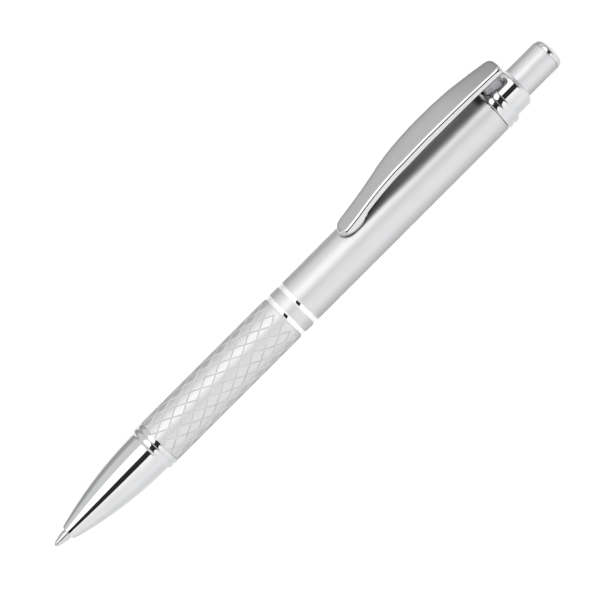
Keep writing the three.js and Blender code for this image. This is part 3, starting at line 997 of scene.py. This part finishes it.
def make_spring():
    """Return spring as a round wire. Its front end rides the nose and its rear end rides the refill."""
    start, end = span("return_spring")
    wire = SPRING_WIRE_R
    mean = radius("return_spring") - wire
    turns, steps, sides = SPRING_TURNS, 36, 10
    sections = []
    for i in range(turns * steps + 1):
        t = i / (turns * steps)
        angle = 2 * math.pi * turns * t
        x = start + wire + (end - start - 2 * wire) * t
        ring = []
        for k in range(sides):
            a = 2 * math.pi * k / sides
            r = mean + wire * math.cos(a)
            ring.append((x + wire * math.sin(a), r * math.cos(angle), r * math.sin(angle)))
        sections.append(ring)
    piece = loft("spring", sections, STEEL)
    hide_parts("return_spring")
    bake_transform(piece)


make_spring()
for node, material in (("barrel_coupling", BRASS), ("refill_cone", BRASS), ("refill_tube", STEEL),
                       ("mechanism_housing", BLACK), ("thrust_tube", NYLON), ("cam_rotor", NYLON),
                       ("refill_end_plug", NYLON)):
    bpy.data.objects[node].material_slots[0].material = material


# ---------------------------------------------------------------- studio
END_WALLS = (0.84, 0.55)
BACKDROP = 1.05
FLOOR_HALF = 0.5
FILL_FROM = (0.07, -0.80, 1.386)
FILL_AT = (0.07, 0, 0.005)
FILL_STRENGTH = 3.6
SOFT_FROM = (0.1, 0.2, 1.2)
SOFT_POWER = 3.5


def make_world():
    """Soft studio: bands of light along the pen, given by the angle round its axis from straight up."""
    world = bpy.data.worlds.new("studio")
    bpy.context.scene.world = world
    world.use_nodes = True
    tree = world.node_tree
    background = tree.nodes["Background"]
    direction = axes(tree, add(tree, "ShaderNodeTexCoord").outputs["Generated"])
    front = math_node(tree, "MULTIPLY", direction["Y"], -1)
    angle = math_node(tree, "ARCTAN2", front, direction["Z"])
    place = remap(tree, angle, -math.pi, math.pi, 0, 1)
    # Degrees from straight up, towards the front, and the light that comes from there.
    bands = [
        (-180, 0.75), (-130, 0.70), (-110, 0.36), (-88, 0.30), (-76, 0.44), (-60, 0.50), (-50, 0.82),
        (-12, 0.82), (-8.5, 1.7), (45, 1.7), (46, 1.3), (60, 1.3), (78, 1.1), (95, 1.08), (180, 1.0),
    ]
    sky = ramp(tree, place, [((degrees + 180) / 360, value) for degrees, value in bands])

    # A dark strip in front, wider towards its two ends.
    middle = remap(tree, direction["X"], -0.45, 0.2, math.radians(45.4), math.radians(41.0))
    away = math_node(tree, "ABSOLUTE", math_node(tree, "SUBTRACT", angle, middle))
    along = math_node(tree, "MULTIPLY", direction["X"], direction["X"])
    far_along = math_node(tree, "POWER", along, 3)
    half = math_node(tree, "MULTIPLY_ADD", far_along, math.radians(95), math.radians(12.6))
    beyond = math_node(tree, "SUBTRACT", away, half)
    across = remap(tree, beyond, -math.radians(0.7), math.radians(0.7), 0.02, 1)
    ends = remap(tree, along, 0.62, 0.78, 0, 1)
    strip = math_node(tree, "MAXIMUM", across, ends)

    # Walls at the two ends, plain and paler.
    walls = remap(tree, direction["X"], -0.2, 0.2, *END_WALLS)
    room = mix(tree, remap(tree, along, 0.45, 0.7, 0, 1), sky, walls)
    lit = mix(tree, 1, room, strip, "MULTIPLY")

    # Seen directly, the studio is one plain pale backdrop.
    seen_directly = add(tree, "ShaderNodeLightPath").outputs["Is Camera Ray"]
    backdrop = (BACKDROP, BACKDROP, BACKDROP, 1)
    link(tree, mix(tree, seen_directly, lit, backdrop), background.inputs["Color"])
    world.cycles_visibility.diffuse = False


def make_floor():
    bm = bmesh.new()
    bmesh.ops.create_grid(bm, x_segments=8, y_segments=8, size=FLOOR_HALF)
    mesh = bpy.data.meshes.new("floor")
    bm.to_mesh(mesh)
    bm.free()
    floor = bpy.data.objects.new("floor", mesh)
    bpy.context.scene.collection.objects.link(floor)
    material, tree, shader = new_material("pale_floor")
    shader.inputs["Base Color"].default_value = (0.93, 0.93, 0.93, 1)
    shader.inputs["Roughness"].default_value = 0.9
    shader.inputs["Specular IOR Level"].default_value = 0.1
    mesh.materials.append(material)


def make_light(name, kind, place, aim, power):
    """Lamp that lights the pen but isn't reflected in it."""
    data = bpy.data.lights.new(name, kind)
    data.energy = power
    light = bpy.data.objects.new(name, data)
    light.location = place
    direction = Vector(aim) - Vector(place)
    light.rotation_euler = direction.to_track_quat("-Z", "Y").to_euler()
    light.visible_glossy = False
    bpy.context.scene.collection.objects.link(light)
    return data


make_world()
make_floor()
fill = make_light("front_fill", "SUN", FILL_FROM, FILL_AT, FILL_STRENGTH)
fill.angle = math.radians(50)
fill.use_shadow = False
soft = make_light("overhead_soft", "AREA", SOFT_FROM, (0, 0, 0), SOFT_POWER)
soft.size = 1.8
bpy.context.scene.view_settings.view_transform = "Standard"
bpy.context.scene.view_settings.look = "None"
